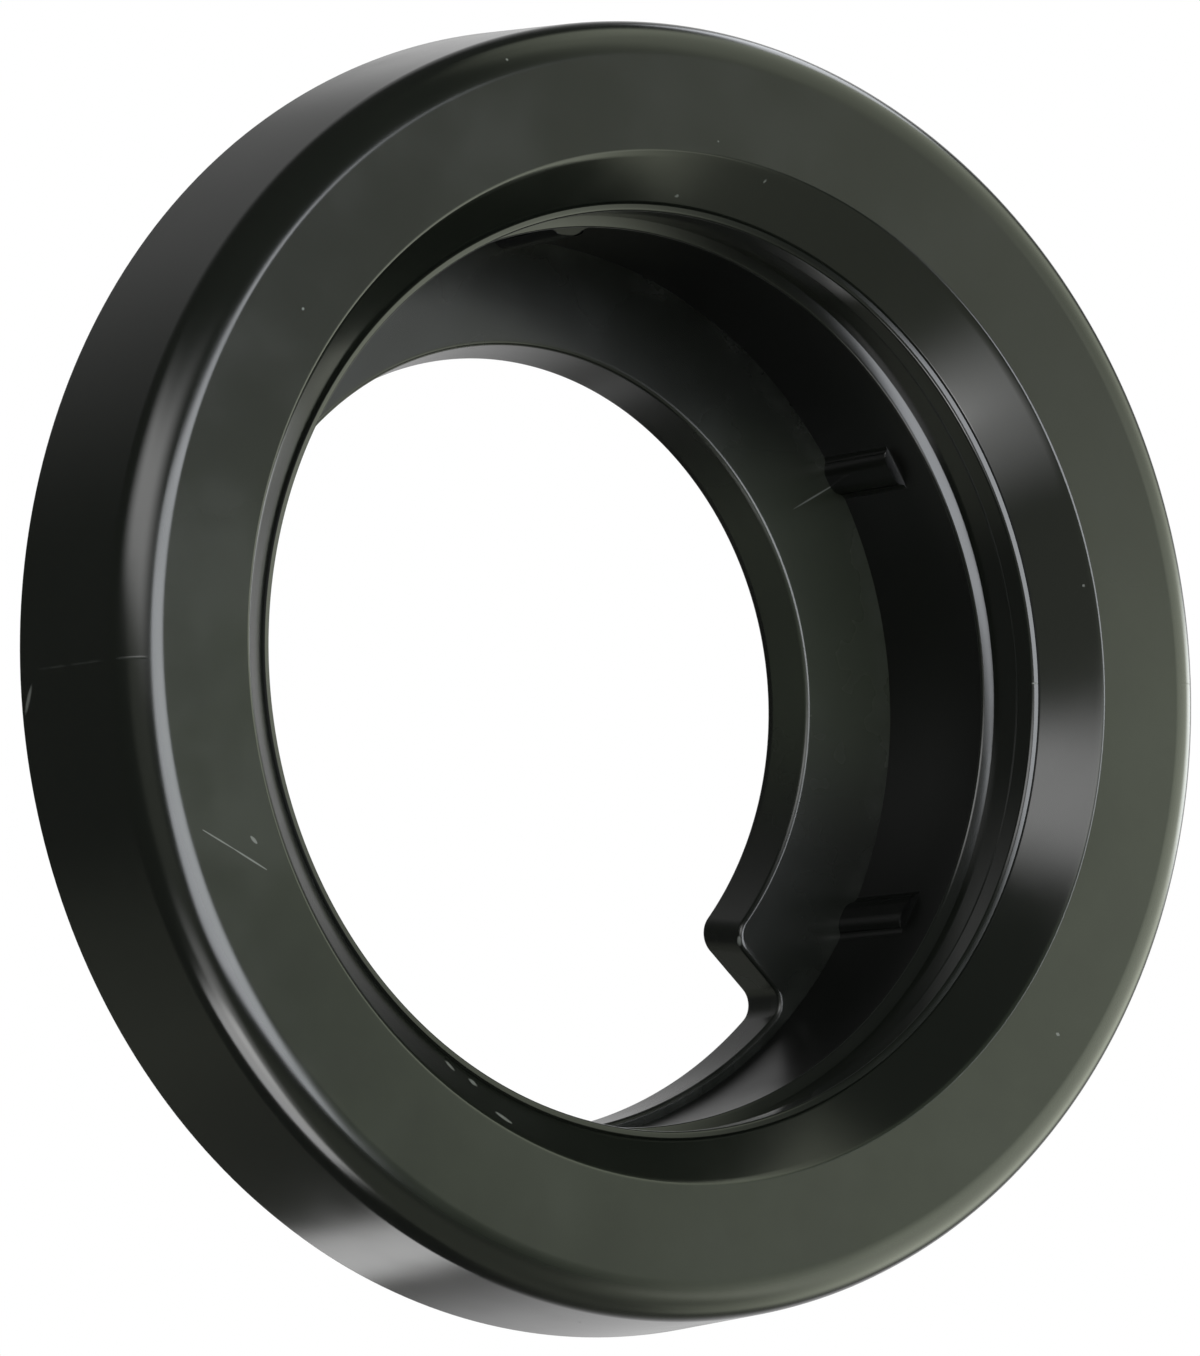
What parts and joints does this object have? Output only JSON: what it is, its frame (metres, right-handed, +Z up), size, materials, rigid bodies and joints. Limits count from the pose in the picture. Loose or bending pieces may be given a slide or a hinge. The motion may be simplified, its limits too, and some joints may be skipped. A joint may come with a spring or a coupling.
{
  "type": "lamp grommet",
  "caption": "Round black rubber grommet that holds a round marker lamp in a panel hole, with a lip, a pocket, a rear ledge with a harness notch and locating ribs.",
  "frame": {"origin": "on the ring's axis, in the plane of the flange's back face, which is the plane of the panel's outer skin", "axes": "+Y along the axis towards the back, so the lamp goes in from -Y; +Z up, with the harness notch at the bottom; +X to the right as seen from the front"},
  "size_m": [0.0888, 0.0244, 0.0888],
  "materials": {
    "black_rubber": "smooth moulded black rubber with a soft gloss"
  },
  "bodies": {
    "root": {"front_flange": "black_rubber", "retaining_lip": "black_rubber", "lamp_sleeve": "black_rubber", "groove_band": "black_rubber", "panel_barb": "black_rubber", "rear_ledge": "black_rubber", "rib_top": "black_rubber", "rib_upper_right": "black_rubber", "rib_lower_right": "black_rubber", "rib_upper_left": "black_rubber", "rib_lower_left": "black_rubber"}
  },
  "joints": []
}
